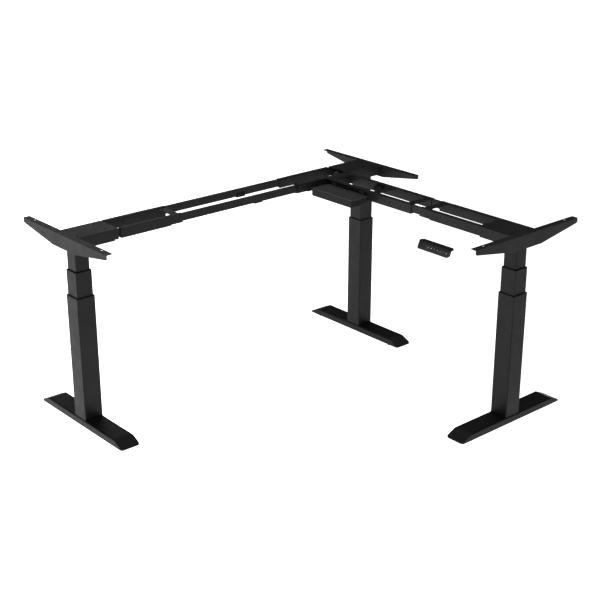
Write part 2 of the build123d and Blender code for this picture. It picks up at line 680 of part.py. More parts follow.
def main():
    os.makedirs("parts", exist_ok=True)
    shared = leg_nodes()
    for leg, place in LEG_PLACES.items():
        for name, shape in (shared | head_nodes(leg)).items():
            save(leg + "_" + name, shape, place)
    for name, shape in main_rail_nodes().items():
        save(name, shape, LEG_PLACES["left"])
    for name, shape in right_frame_nodes().items():
        save(name, shape, LEG_PLACES["right"])


main()
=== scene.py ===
"""Looks of a three-leg, L-shaped, height adjustable desk frame.

The CAD nodes keep their shapes and get procedural finishes by the record's material slots.
Small pieces that the CAD leaves out are made here: fasteners, weld seams, glide pads, motor
caps, sockets, the handset's display and the symbols on its keys. Everything is in metres, in
the CAD's own frame. Each leg's pieces are laid out in the leg's own frame, in millimetres,
with the column on the z axis and the arm towards +X.
"""
import json
import math

import bmesh
import bpy
from mathutils import Matrix, Vector


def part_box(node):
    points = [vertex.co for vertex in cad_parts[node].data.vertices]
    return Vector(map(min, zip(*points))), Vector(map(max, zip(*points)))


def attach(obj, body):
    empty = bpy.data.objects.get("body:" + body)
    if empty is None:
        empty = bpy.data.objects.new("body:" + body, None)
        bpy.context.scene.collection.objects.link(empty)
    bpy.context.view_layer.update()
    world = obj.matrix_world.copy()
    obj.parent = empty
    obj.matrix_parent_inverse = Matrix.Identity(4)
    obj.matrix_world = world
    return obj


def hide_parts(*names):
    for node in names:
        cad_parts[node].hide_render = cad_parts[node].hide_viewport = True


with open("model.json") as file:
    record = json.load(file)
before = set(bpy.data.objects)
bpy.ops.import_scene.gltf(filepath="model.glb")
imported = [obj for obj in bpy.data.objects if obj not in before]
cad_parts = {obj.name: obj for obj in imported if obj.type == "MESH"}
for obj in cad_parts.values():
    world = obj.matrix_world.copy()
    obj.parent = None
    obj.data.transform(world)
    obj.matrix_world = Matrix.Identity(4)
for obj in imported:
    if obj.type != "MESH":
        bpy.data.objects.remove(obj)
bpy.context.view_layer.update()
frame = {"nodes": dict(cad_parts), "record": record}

MM = 0.001
SIDES = (-1, 1)
LEG_TURNS = {"left": 0.0, "corner": 180.0, "right": 90.0}

# Leg dimensions, in millimetres from the leg's own column centre
TUBE_HALF = 40.5
TUBE_CORNER = 3.8
SEAM_LIFT = 0.2             # middle of the weld seam above the foot
SEAM_RADIUS = 1.3
FOOT_SHEET = 3.0
FOOT_BOLT_REACH = 25.0
GLIDE_X = 25.0
GLIDE_Y = 238.0
HEAD_SCREW_PLACES = (-20.0, 103.0)
HEAD_SCREW_REACH = 40.0
MOTOR_END = 158.0
MOTOR_DROP = 26.0           # motor's axis below the top of the frame
PLUG_WELD_PLACES = (-46.0, -22.0, 22.0, 46.0)
PLUG_WELD_DROP = 24.0

# Arm dimensions, from the arm's own leg, and for the side arm from the right leg
ARM_HALF = 70.5             # outer face of an arm's tubes
ARM_TUBE = 21.0
ARM_STOP = 244.0
TIE_DROP = 4.2              # top of a tie plate below the top of the frame
TIE_CENTRE = 427.0
TIE_SCREW_REACH = 34.0
SIDE_TIE_CENTRES = (519.0, 724.0)
KNOB_PLACES = (785.0, 813.0)
KNOB_RADIUS = 13.0
KNOB_DEPTH = 15.0
SLEEVE_DRAWN_IN = 1.4       # outer side of an arm's thinner mouth behind the tube's
SHADE_BANDS = ((385.5, 0.3), (443.0, -1.1))  # each painted shade band's start, and how far it stands out
SHADE_BAND_LENGTH = 6.0
SHADE_BAND_EDGE = 2.0             # gap between a painted shade band's top plate and the edges of its tube
SHADE_BAND_SUNK = 0.2
SHADE_BAND_SIDE = (2.3, -1.2)     # ends of a painted shade band's side plate from the tube's bottom and top
SHADE_BAND_TOP = (-0.2, 0.3)      # faces of a painted shade band's top plate from the tube's top

# Screws: radius and height of the head, and size of the socket
HEAD_SCREW = (5.2, 1.0, 2.3)
TIE_SCREW = (4.6, 2.2, 2.0)
CAP_SCREW = (2.4, 1.4, 1.1)
BOX_SCREW = (3.6, 0.8, 1.5)
FOOT_BOLT = (5.5, 5.5)      # across the flats, halved, and height
PLUG_WELD = (2.6, 0.3)      # radius and height

# Turned pieces: rings of height and radius, with a form where they are not round
GLIDE_PAD = (
    (0.0, 11.5), (0.2, 12.6), (0.9, 13.2, "rib"), (4.4, 13.2, "rib"), (5.3, 12.4), (5.7, 10.5))
LOCK_NUT = ((5.6, 6.5, "hex"), (8.9, 6.5, "hex"), (9.1, 3.9))
THREAD_RADII = (3.45, 3.9)
THREAD_START = 9.5
THREAD_STEP = 0.5
THREAD_RINGS = 41
MOTOR_CAP = (
    (0.0, 17.0), (1.4, 17.0), (1.9, 16.4), (1.9, 8.2), (3.6, 7.8), (4.0, 7.2), (4.0, 3.2), (3.0, 3.0))
CAP_FACE = 1.9
CAP_SCREW_REACH = 12.4
STOP_DIMPLE = ((0.0, 2.4), (0.3, 2.3), (0.35, 1.5), (0.05, 1.2))

# Control box: sockets in its near end, from the case's near lower corner
SOCKET_PLACES = (16.0, 36.0, 56.0, 76.0)
SOCKET_DROP = 10.5          # middle of the sockets below the case's top
SOCKET_HOLE = (5.4, 4.2)    # half the opening's width and height
SOCKET_BARS = (5.9, 4.5)    # middles of the frame's side bars, and of its upper and lower ones
SOCKET_BAR_HALF = (0.5, 0.4)
SOCKET_BAR_LAP = 0.2        # upper and lower bars past the ends of the side bars
SOCKET_PROUD = (0.1, 1.1)   # frame's front and back, into the case
SOCKET_DEPTH = (0.7, 1.15)
PIN_PLACES = (-3.6, -1.2, 1.2, 3.6)
PIN_ROW = 1.5
PIN_START = 0.9
PIN = ((0.0, 0.45), (0.5, 0.45), (0.7, 0.25))
INLET_PLACE = (32.0, 0.0, 8.0)
INLET_RIM = ((0.0, 5.6), (0.6, 5.6), (0.9, 5.2), (0.9, 4.4), (0.4, 4.1), (0.05, 4.1))
INLET_FLOOR = ((0.02, 4.0), (0.2, 4.0), (0.3, 3.8))
INLET_PIN = ((0.25, 0.7), (0.6, 0.7), (0.8, 0.4))
BOX_SCREW_INSET = 10.0

# Handset face: distances from its middle, x along the desk, y up the slope
HANDSET_TILT = 22.0
KEY_PROUD = 0.6
KEY_RISE = 2.2
DISPLAY = (7.2, 36.8, 6.8)  # window's ends from the handset's left end, and half its height
DISPLAY_DEPTH = (-0.6, -0.12)
LIGHT_PLACE = (9.5, -9.6)   # from the handset's left end, and up the slope
LIGHT_DOME = (0.9, 0.35)
INK_THICKNESS = 0.08
ARROW = ((-2.7, -1.9), (2.7, -1.9), (0.0, 2.3))
SET_RINGS = ((1.9, 2.7), (0.3, 0.9))
DIGIT_SIZE = 7.2

# Studio, in metres and degrees
FLOOR_HALF = 300.0          # so wide that its edge lies at the horizon
FLOOR_GLOW = (2.0, 1.0)     # painted light: glow of the paper, stronger at its left as a pool of light there, and enough everywhere to keep it white
FLOOR_GLOW_RANGE = (-1.4, 1.8)
FLOOR_GLOW_ACROSS = (1.0, -0.6, 0.0)
ROOM_GLOW = 0.03
LIGHT_TARGET = (0.0, 0.0, 0.5)
SOFT_BOXES = (
    # name, azimuth, elevation, distance, size, power
    ("key", 190.0, 35.0, 4.0, (2.0, 2.0), 12.0),
    ("overhead", 225.0, 70.0, 4.5, (3.0, 3.0), 60.0),
    ("far", 50.0, 54.0, 4.5, (7.0, 1.5), 60.0),
    ("back", 68.0, 23.0, 5.5, (3.0, 1.4), 12.0),
)
CAMERA_PLACE = (-3.060, -3.518, 2.307)
CAMERA_AZIMUTH = 49.0       # direction it looks in, from +X towards +Y
CAMERA_DROP = 21.6          # below the horizon
CAMERA_LENS = 74.22
CAMERA_SENSOR = 36.0


# ================================================================ materials
class Finish:
    """A Principled material with short-hands for the nodes that vary it."""

    def __init__(self, name, roughness=0.5, ior=1.5, metallic=0.0, specular=0.5):
        self.material = bpy.data.materials.new(name)
        self.material.use_nodes = True
        self.tree = self.material.node_tree
        self.shader = self.tree.nodes["Principled BSDF"]
        self.shader.inputs["Roughness"].default_value = roughness
        self.shader.inputs["IOR"].default_value = ior
        self.shader.inputs["Metallic"].default_value = metallic
        self.shader.inputs["Specular IOR Level"].default_value = specular
        self.place = self.tree.nodes.new("ShaderNodeTexCoord").outputs["Object"]

    def link(self, source, target):
        self.tree.links.new(source, target)

    def node(self, kind, inputs=(), **settings):
        """New node with its settings, and its inputs given as values or as sockets."""
        made = self.tree.nodes.new(kind)
        for key, value in settings.items():
            setattr(made, key, value)
        for key, value in dict(inputs).items():
            if isinstance(value, bpy.types.NodeSocket):
                self.link(value, made.inputs[key])
            else:
                made.inputs[key].default_value = value
        return made

    def noise(self, scale, detail=2.0, stretch=None):
        """Noise between 0 and 1, of so many features per metre."""
        place = self.place
        if stretch:
            place = self.node("ShaderNodeMapping", {"Vector": place, "Scale": stretch}).outputs[0]
        made = self.node("ShaderNodeTexNoise", {"Vector": place, "Scale": scale, "Detail": detail})
        return made.outputs["Fac"]

    def spread(self, source, low, high, to_low, to_high):
        """Source remapped from low..high to to_low..to_high, clamped."""
        inputs = {
            "Value": source, "From Min": low, "From Max": high, "To Min": to_low, "To Max": to_high}
        return self.node("ShaderNodeMapRange", inputs).outputs["Result"]

    def multiply(self, first, second):
        made = self.node("ShaderNodeMath", operation="MULTIPLY")
        self.link(first, made.inputs[0])
        self.link(second, made.inputs[1])
        return made.outputs[0]

    def blend(self, amount, first, second):
        """Colour between two colours, each a value or a socket."""
        made = self.node("ShaderNodeMix", data_type="RGBA")
        self.link(amount, made.inputs["Factor"])
        for socket, colour in ((made.inputs[6], first), (made.inputs[7], second)):
            if isinstance(colour, bpy.types.NodeSocket):
                self.link(colour, socket)
            else:
                socket.default_value = (*colour, 1.0)
        return made.outputs[2]

    def edge_mask(self, radius):
        """1 on edges and corners, 0 on flat faces, broken up by noise."""
        rounded = self.node("ShaderNodeBevel", {"Radius": radius}, samples=4).outputs["Normal"]
        true_normal = self.node("ShaderNodeNewGeometry").outputs["Normal"]
        facing = self.node("ShaderNodeVectorMath", operation="DOT_PRODUCT")
        self.link(rounded, facing.inputs[0])
        self.link(true_normal, facing.inputs[1])
        edge = self.spread(facing.outputs["Value"], 0.99, 0.80, 0.0, 1.0)
        return self.multiply(edge, self.spread(self.noise(90.0, 4.0), 0.42, 0.62, 0.15, 1.0))

    def bump(self, height, distance, strength=1.0, rounding=None):
        """Relief of so many metres, on edges softened to the rounding's radius."""
        inputs = {"Height": height, "Distance": distance, "Strength": strength}
        made = self.node("ShaderNodeBump", inputs)
        if rounding:
            softened = self.node("ShaderNodeBevel", {"Radius": rounding}, samples=6).outputs["Normal"]
            self.link(softened, made.inputs["Normal"])
        self.link(made.outputs["Normal"], self.shader.inputs["Normal"])

    def colour(self, socket):
        self.link(socket, self.shader.inputs["Base Color"])

    def roughness(self, socket):
        self.link(socket, self.shader.inputs["Roughness"])


SATIN = 0.10                # dark satin surfaces mirror little of the white floor


def scaled(colour, factor):
    return tuple(channel * factor for channel in colour)


def powder_coat(name, colour, roughness, rounding=0.0012):
    """Satin powder coat: fine orange peel, faint clouds, paler rubbed edges."""
    finish = Finish(name, specular=SATIN)
    clouds = finish.noise(9.0, 5.0)
    specks = finish.noise(900.0, 1.0)
    cloudy = finish.spread(clouds, 0.35, 0.65, 0, 1)
    base = finish.blend(cloudy, scaled(colour, 0.86), scaled(colour, 1.16))
    base = finish.blend(finish.spread(specks, 0.60, 0.78, 0, 0.5), base, scaled(colour, 1.9))
    base = finish.blend(finish.edge_mask(0.0022), base, scaled(colour, 3.2))
    finish.colour(base)
    smears = finish.noise(26.0, 6.0)
    finish.roughness(finish.spread(smears, 0.3, 0.7, roughness - 0.05, roughness + 0.06))
    finish.bump(finish.noise(1300.0, 2.0), 0.00012, 0.35, rounding)
    return finish.material


def moulded_plastic(name, colour, roughness, grain=2100.0, rounding=0.0006):
    """Moulded plastic with a spark-eroded grain."""
    finish = Finish(name, specular=SATIN)
    clouds = finish.noise(30.0, 4.0)
    cloudy = finish.spread(clouds, 0.35, 0.65, 0, 1)
    base = finish.blend(cloudy, scaled(colour, 0.85), scaled(colour, 1.2))
    base = finish.blend(finish.edge_mask(0.0009), base, scaled(colour, 2.0))
    finish.colour(base)
    finish.roughness(finish.spread(clouds, 0.3, 0.7, roughness - 0.05, roughness + 0.05))
    finish.bump(finish.noise(grain, 3.0), 0.0001, 0.4, rounding)
    return finish.material


def rubber(name, colour):
    """Matt rubber with dust in its pores."""
    finish = Finish(name, ior=1.45, specular=0.35)
    pores = finish.noise(1100.0, 3.0)
    dust = finish.noise(45.0, 5.0)
    base = finish.blend(finish.spread(pores, 0.35, 0.6, 0, 1), scaled(colour, 0.7), colour)
    base = finish.blend(finish.spread(dust, 0.5, 0.8, 0, 0.35), base, scaled(colour, 3.0))
    finish.colour(base)
    finish.roughness(finish.spread(dust, 0.3, 0.7, 0.68, 0.84))
    finish.bump(pores, 0.00015, 0.5, 0.0005)
    return finish.material


def turned_steel(name, colour, roughness, thread=False):
    """Zinc plated steel with fine turning lines, or a rolled thread along Z."""
    finish = Finish(name, metallic=1.0)
    stains = finish.noise(70.0, 5.0)
    lines = finish.noise(420.0, 2.0, stretch=(1.0, 1.0, 9.0))
    base = finish.blend(finish.spread(stains, 0.35, 0.7, 0, 1), colour, scaled(colour, 0.72))
    finish.colour(base)
    finish.roughness(finish.spread(lines, 0.3, 0.7, roughness - 0.08, roughness + 0.1))
    if thread:
        inputs = {"Vector": finish.place, "Scale": 78.0}
        wave = finish.node("ShaderNodeTexWave", inputs, bands_direction="Z")
        finish.bump(wave.outputs["Fac"], 0.0008, 0.8)
    else:
        finish.bump(lines, 0.00005, 0.4, 0.0004)
    return finish.material


def black_oxide(name, colour):
    """Blackened screws: oily sheen with steel showing on the edges."""
    finish = Finish(name, metallic=0.2, specular=SATIN)
    patches = finish.noise(160.0, 4.0)
    base = finish.blend(finish.spread(patches, 0.4, 0.7, 0, 1), colour, scaled(colour, 1.7))
    base = finish.blend(finish.edge_mask(0.0006), base, (0.06, 0.06, 0.058))
    finish.colour(base)
    finish.roughness(finish.spread(patches, 0.3, 0.7, 0.34, 0.5))
    finish.bump(finish.noise(1800.0, 2.0), 0.00005, 0.4, 0.0004)
    return finish.material


def cast_housing(name, colour):
    """Die-cast housing: pebbled skin with darker hollows."""
    finish = Finish(name, metallic=0.35)
    pebbles = finish.noise(520.0, 4.0)
    base = finish.blend(finish.spread(pebbles, 0.35, 0.6, 0, 1), scaled(colour, 0.55), colour)
    base = finish.blend(finish.edge_mask(0.0015), base, scaled(colour, 2.4))
    finish.colour(base)
    finish.roughness(finish.spread(pebbles, 0.3, 0.7, 0.5, 0.68))
    finish.bump(pebbles, 0.0003, 0.5, 0.001)
    return finish.material


def display_glass(name):
    """Dark display window with faint wipe marks."""
    finish = Finish(name, ior=1.52)
    wipes = finish.noise(60.0, 5.0, stretch=(1.0, 0.35, 1.0))
    wiped = finish.spread(wipes, 0.4, 0.7, 0, 1)
    finish.colour(finish.blend(wiped, (0.024, 0.024, 0.0245), (0.034, 0.034, 0.0345)))
    finish.roughness(finish.spread(wipes, 0.35, 0.75, 0.1, 0.26))
    finish.bump(wipes, 0.00002, 0.2)
    return finish.material


def printed_ink(name, colour):
    """Pad printed ink, a little thin in places."""
    finish = Finish(name, ior=1.45)
    thin = finish.noise(2600.0, 3.0)
    finish.colour(finish.blend(finish.spread(thin, 0.45, 0.7, 0, 1), colour, scaled(colour, 0.6)))
    finish.roughness(finish.spread(thin, 0.3, 0.7, 0.5, 0.65))
    finish.bump(thin, 0.00003, 0.4)
    return finish.material


def floor_paper(name):
    """White paper that glows so that it stays white to its edges; its stronger glow at its left is
    painted light, a pool of light on that side.
    """
    finish = Finish(name, roughness=0.9, specular=0.0)
    fibres = finish.noise(3.0, 2.0)
    finish.colour(finish.blend(fibres, (0.86, 0.86, 0.86), (0.9, 0.9, 0.9)))
    finish.shader.inputs["Emission Color"].default_value = (1.0, 1.0, 1.0, 1.0)
    inputs = {0: finish.place, 1: FLOOR_GLOW_ACROSS}
    across = finish.node("ShaderNodeVectorMath", inputs, operation="DOT_PRODUCT")
    # painted light: the glow rises from right to left, a pool of light at the left
    glow = finish.spread(across.outputs["Value"], *FLOOR_GLOW_RANGE, *FLOOR_GLOW)
    finish.link(glow, finish.shader.inputs["Emission Strength"])
    return finish.material


MATERIALS = {
    "column_powder_coat": powder_coat("column_powder_coat", (0.0105, 0.0105, 0.0108), 0.43),
    "foot_powder_coat": powder_coat("foot_powder_coat", (0.0085, 0.0085, 0.0088), 0.44),
    "arm_powder_coat": powder_coat("arm_powder_coat", (0.0125, 0.0125, 0.0128), 0.42),
    "guide_plastic": moulded_plastic("guide_plastic", (0.004, 0.004, 0.004), 0.6),
    "black_rubber": rubber("black_rubber", (0.006, 0.006, 0.006)),
    "screw_steel": turned_steel("screw_steel", (0.52, 0.52, 0.53), 0.34, thread=True),
    "motor_housing": cast_housing("motor_housing", (0.006, 0.006, 0.0062)),
    "black_screws": black_oxide("black_screws", (0.004, 0.004, 0.004)),
    "box_plastic": moulded_plastic("box_plastic", (0.008, 0.008, 0.0081), 0.55, grain=1500.0),
    "box_lid_paint": powder_coat("box_lid_paint", (0.036, 0.036, 0.0365), 0.6),
    "handset_plastic": moulded_plastic("handset_plastic", (0.036, 0.036, 0.0365), 0.42),
    "button_rubber": moulded_plastic("button_rubber", (0.034, 0.034, 0.0345), 0.5, grain=2600.0),
}
PLATED_STEEL = turned_steel("plated_steel", (0.5, 0.5, 0.49), 0.36)
DISPLAY_GLASS = display_glass("display_glass")
INK = printed_ink("printed_ink", (0.5, 0.5, 0.505))
LED_LENS = moulded_plastic("led_lens", (0.09, 0.1, 0.09), 0.25)

for part in frame["record"]["subparts"]:
    mesh = frame["nodes"][part["node"]].data
    mesh.materials.clear()
    mesh.materials.append(MATERIALS[part["material_slot"]])


# ================================================================ mesh helpers
def ring_radius(form, radius, angle):
    """Radius at an angle of a round, hexagonal, knurled or ribbed ring."""
    if form == "hex":
        return radius / math.cos(angle % (math.pi / 3) - math.pi / 6)
    if form == "knurl":
        return radius * (1.0 + 0.045 * math.cos(24 * angle))
    if form == "rib":
        return radius * (1.0 + 0.03 * max(-0.3, math.cos(16 * angle)))
    return radius


class Shape:
    """Mesh that collects several small solids, laid out in millimetres."""

    def __init__(self):
        self.mesh = bmesh.new()

    def tower(self, rings, place, segments=96):
        """Closed solid of rings, each (height, radius) or (height, radius, form)."""
        loops = []
        for height, radius, *form in rings:
            form = form[0] if form else "round"
            loop = []
            for step in range(segments):
                angle = 2 * math.pi * step / segments
                reach = ring_radius(form, radius, angle)
                point = Vector((reach * math.cos(angle), reach * math.sin(angle), height))
                loop.append(self.mesh.verts.new(place @ point))
            loops.append(loop)
        for lower, upper in zip(loops, loops[1:]):
            for i in range(segments):
                j = (i + 1) % segments
                self.mesh.faces.new((lower[i], lower[j], upper[j], upper[i]))
        self.mesh.faces.new(list(reversed(loops[0])))
        self.mesh.faces.new(loops[-1])

    def block(self, low, high, place, rounding=0.6, segments=3):
        """Box between two corners, with rounded edges."""
        low, high = Vector(low), Vector(high)
        made = bmesh.ops.create_cube(self.mesh, size=1.0)["verts"]
        for vert in made:
            vert.co = Vector((low[i] + (vert.co[i] + 0.5) * (high[i] - low[i]) for i in range(3)))
        edges = {edge for vert in made for edge in vert.link_edges}
        made = bmesh.ops.bevel(
            self.mesh, geom=list(edges), offset=rounding, segments=segments, affect="EDGES", profile=0.5)
        corners = {vert for face in made["faces"] for vert in face.verts}
        for vert in corners:
            vert.co = place @ vert.co

    def bead(self, path, radius, place, pitch=4.0, sides=10):
        """Rippled weld seam along a closed path."""
        loops = []
        travelled = 0.0
        for i, point in enumerate(path):
            before, after = path[i - 1], path[(i + 1) % len(path)]
            along = (after - before).normalized()
            side = along.cross(Vector((0, 0, 1))).normalized()
            upward = side.cross(along)
            ripple = radius * (1.0 + 0.16 * abs(math.sin(math.pi * travelled / pitch)))
            travelled += (after - point).length
            loop = []
            for step in range(sides):
                angle = 2 * math.pi * step / sides
                offset = (side * math.cos(angle) + upward * math.sin(angle)) * ripple
                loop.append(self.mesh.verts.new(place @ (point + offset)))
            loops.append(loop)
        for i, lower in enumerate(loops):
            upper = loops[(i + 1) % len(loops)]
            for k in range(sides):
                n = (k + 1) % sides
                self.mesh.faces.new((lower[k], lower[n], upper[n], upper[k]))

    def prism(self, outline, thickness, place):
        """Flat plate of (x, y) points, its top at z = thickness."""
        rings = []
        for height in (0.0, thickness):
            rings.append([self.mesh.verts.new(place @ Vector((x, y, height))) for x, y in outline])
        lower, upper = rings
        count = len(outline)
        for i in range(count):
            j = (i + 1) % count
            self.mesh.faces.new((lower[i], lower[j], upper[j], upper[i]))
        self.mesh.faces.new(list(reversed(lower)))
        self.mesh.faces.new(upper)

    def washer(self, inner, outer, thickness, place, segments=48):
        """Flat ring between two radii."""
        loops = []
        for radius, height in ((inner, 0.0), (outer, 0.0), (outer, thickness), (inner, thickness)):
            angles = [2 * math.pi * step / segments for step in range(segments)]
            points = [Vector((radius * math.cos(a), radius * math.sin(a), height)) for a in angles]
            loops.append([self.mesh.verts.new(place @ point) for point in points])
        for k, lower in enumerate(loops):
            upper = loops[(k + 1) % len(loops)]
            for i in range(segments):
                j = (i + 1) % segments
                self.mesh.faces.new((lower[i], lower[j], upper[j], upper[i]))

    def piece(self, name, body, slot, material=None):
        """The finished object, riding on its body."""
        bmesh.ops.recalc_face_normals(self.mesh, faces=self.mesh.faces)
        for face in self.mesh.faces:
            face.smooth = True
        for edge in self.mesh.edges:
            edge.smooth = edge.calc_face_angle(0.0) < math.radians(38)
        mesh = bpy.data.meshes.new(name)
        self.mesh.to_mesh(mesh)
        self.mesh.free()
        mesh.transform(Matrix.Scale(MM, 4))
        mesh.materials.append(material or MATERIALS[slot])
        made = bpy.data.objects.new(name, mesh)
        bpy.context.scene.collection.objects.link(made)
        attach(made, body)
        return made


def at(x, y, z):
    return Matrix.Translation((x, y, z))


def facing(x, y, z, direction):
    """Place whose local z axis points in a direction."""
    return at(x, y, z) @ Vector((0, 0, 1)).rotation_difference(Vector(direction)).to_matrix().to_4x4()


def leg_place(leg):
    """The leg's own frame, in millimetres."""
    low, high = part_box(leg + "_outer_tube")
    middle = (low + high) / 2 / MM
    return at(middle.x, middle.y, 0) @ Matrix.Rotation(math.radians(LEG_TURNS[leg]), 4, "Z")


def mm(node, high):
    """Lowest or highest corner of a CAD node, in millimetres."""
    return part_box(node)[1 if high else 0] / MM


FOOT_TOP = mm("left_foot", True).z
FRAME_TOP = mm("left_bracket", True).z
ARM_TOP = mm("left_arm", True).z
ARM_BOTTOM = mm("left_arm", False).z
ARM_MIDDLE = (ARM_TOP + ARM_BOTTOM) / 2
BRACKET_OUT = mm("left_bracket", False).x - leg_place("left").translation.x
RIGHT = leg_place("right")
CORNER = leg_place("corner")


# ================================================================ fasteners and seams
def screw_rings(radius, height, socket):
    """Low button head with a hexagonal socket."""
    return [
        (0.0, radius), (height * 0.45, radius), (height * 0.8, radius * 0.93), (height, radius * 0.78),
        (height, socket * 1.25), (height - 0.1, socket, "hex"), (0.15, socket, "hex")]


def bolt_rings(flats, height):
    """Hexagon head on a round flange."""
    return [
        (0.0, flats * 1.38), (1.0, flats * 1.36), (1.5, flats * 1.12), (1.6, flats, "hex"),
        (height - 0.5, flats, "hex"), (height, flats * 0.93)]


def dome_rings(radius, height):
    """Flat dome, such as a plug weld or a rivet's head."""
    steps = 6
    rings = [(0.0, radius)]
    for i in range(1, steps):
        angle = math.pi / 2 * i / steps
        rings.append((height * math.sin(angle), radius * math.cos(angle)))
    return rings


def rounded_square(half, corner, height, step=1.0):
    """Points round a square with rounded corners."""
    points = []
    straight = half - corner
    count = int(2 * straight / step)
    for quarter in range(4):
        turn = Matrix.Rotation(quarter * math.pi / 2, 3, "Z")
        for i in range(count):
            points.append(turn @ Vector((half, -straight + 2 * straight * i / count, height)))
        for i in range(6):
            angle = math.pi / 2 * i / 6
            point = (straight + corner * math.cos(angle), straight + corner * math.sin(angle), height)
            points.append(turn @ Vector(point))
    return points


def glide_pads(leg, place):
    """Ribbed levelling pads, each on a threaded stem with a lock nut."""
    stem = list(LOCK_NUT)
    for i in range(THREAD_RINGS):
        stem.append((THREAD_START + THREAD_STEP * i, THREAD_RADII[i % 2]))
    pads, stems = Shape(), Shape()
    for x in (-GLIDE_X, GLIDE_X):
        for y in (-GLIDE_Y, GLIDE_Y):
            here = place @ at(x, y, 0)
            pads.tower(GLIDE_PAD, here)
            stems.tower(stem, here, segments=48)
    pads = pads.piece(leg + "_glide_pads", leg + "_base", "black_rubber")
    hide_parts(leg + "_glides")
    stems.piece(leg + "_glide_stems", leg + "_base", "screw_steel", PLATED_STEEL)


def foot_details(leg, place):
    """Weld seam round the column, and the bolts under it."""
    seam = Shape()
    path = rounded_square(TUBE_HALF, TUBE_CORNER, FOOT_TOP + SEAM_LIFT)
    seam.bead(path, SEAM_RADIUS, place)
    seam.piece(leg + "_foot_seam", leg + "_base", "column_powder_coat")

    bolts = Shape()
    for x in SIDES:
        for y in SIDES:
            spot = (FOOT_BOLT_REACH * x, FOOT_BOLT_REACH * y, FOOT_TOP - FOOT_SHEET)
            bolts.tower(bolt_rings(*FOOT_BOLT), place @ facing(*spot, (0, 0, -1)), segments=48)
    bolts.piece(leg + "_foot_bolts", leg + "_base", "screw_steel", PLATED_STEEL)


def head_details(leg, place):
    """Screws in the head's lips, the motor's end cap, and plug welds in the bracket's web."""
    screws = Shape()
    for x in HEAD_SCREW_PLACES:
        for y in SIDES:
            spot = place @ at(x, HEAD_SCREW_REACH * y, FRAME_TOP)
            screws.tower(screw_rings(*HEAD_SCREW), spot, segments=48)
    screws.piece(leg + "_head_screws", leg + "_top", "black_screws")

    cap = Shape()
    axis = place @ facing(MOTOR_END, 0, FRAME_TOP - MOTOR_DROP, (1, 0, 0))
    cap.tower(MOTOR_CAP, axis)
    for y in SIDES:
        cap.tower(screw_rings(*CAP_SCREW), axis @ at(0, CAP_SCREW_REACH * y, CAP_FACE), segments=36)
    cap.piece(leg + "_motor_cap", leg + "_top", "motor_housing")

    welds = Shape()
    for y in PLUG_WELD_PLACES:
        spot = facing(BRACKET_OUT, y, FRAME_TOP - PLUG_WELD_DROP, (-1, 0, 0))
        welds.tower(dome_rings(*PLUG_WELD), place @ spot, segments=36)
    welds.piece(leg + "_bracket_plug_welds", leg + "_top", "arm_powder_coat")


def arm_stops(leg, place):
    """Pressed dimples in the arm's sides, which stop the rails."""
    dimples = Shape()
    for y in SIDES:
        side = place @ facing(ARM_STOP, ARM_HALF * y, ARM_MIDDLE, (0, y, 0))
        dimples.tower(STOP_DIMPLE, side, segments=36)
    dimples.piece(leg + "_arm_stops", leg + "_top", "black_screws")


def tie_screws(name, body, place, centres):
    """Pair of screws in each tie plate of an arm."""
    screws = Shape()
    for x in centres:
        for y in SIDES:
            spot = place @ at(x, TIE_SCREW_REACH * y, FRAME_TOP - TIE_DROP)
            screws.tower(screw_rings(*TIE_SCREW), spot, segments=48)
    screws.piece(name, body, "black_screws")


def leg_details(leg):
    """Fasteners and seams that every leg has."""
    place = leg_place(leg)
    glide_pads(leg, place)
    foot_details(leg, place)
    head_details(leg, place)
    arm_stops(leg, place)
    tie_screws(leg + "_tie_screws", leg + "_top", place, [TIE_CENTRE])


for leg_name in LEG_TURNS:
    leg_details(leg_name)


# ================================================================ side arm at the corner
def knob_rings(radius, depth):
    """Knurled clamp knob on a collar, with a dished face."""
    return [
        (0.0, radius * 0.7), (depth * 0.25, radius * 0.7), (depth * 0.27, radius * 0.92),
        (depth * 0.34, radius, "knurl"), (depth * 0.86, radius, "knurl"), (depth, radius * 0.9),
        (depth, radius * 0.62), (depth * 0.88, radius * 0.55), (depth * 0.88, radius * 0.24),
        (depth * 0.98, radius * 0.2)]


def bush_plate(shade_bands, x, sides, heights):
    """Thin plate of a painted shade band, between two distances from the corner arm's middle and two
    heights.
    """
    low, high = (x, min(sides), heights[0]), (x + SHADE_BAND_LENGTH, max(sides), heights[1])
    shade_bands.block(low, high, CORNER, 0.2)


def corner_arm_bushes():
    """Painted shade: thin black plastic plates round both tubes of the corner's arm, at its mouth and at
    its step, dark bands that stand for the shade there.
    """
    shade_bands = Shape()
    sunk = ARM_HALF - SLEEVE_DRAWN_IN - SHADE_BAND_SUNK
    for x, proud in SHADE_BANDS:
        for y in SIDES:
            heights = (ARM_BOTTOM + SHADE_BAND_SIDE[0], ARM_TOP + SHADE_BAND_SIDE[1])
            bush_plate(shade_bands, x, (y * sunk, y * (ARM_HALF + proud)), heights)
            heights = (ARM_TOP + SHADE_BAND_TOP[0], ARM_TOP + SHADE_BAND_TOP[1])
            reach = (y * (ARM_HALF - ARM_TUBE + SHADE_BAND_EDGE), y * (ARM_HALF - SHADE_BAND_EDGE))
            bush_plate(shade_bands, x, reach, heights)
    shade_bands.piece("corner_arm_bushes", "corner_top", "guide_plastic")


def side_arm_knobs():
    """Clamp knobs on the rear tube's inner face."""
    knobs = Shape()
    for x in KNOB_PLACES:
        place = RIGHT @ facing(x, ARM_TUBE - ARM_HALF, ARM_MIDDLE, (0, 1, 0))
        knobs.tower(knob_rings(KNOB_RADIUS, KNOB_DEPTH), place)
    knobs.piece("side_arm_knobs", "corner_top", "guide_plastic")


corner_arm_bushes()
tie_screws("side_arm_tie_screws", "corner_top", RIGHT, SIDE_TIE_CENTRES)
side_arm_knobs()


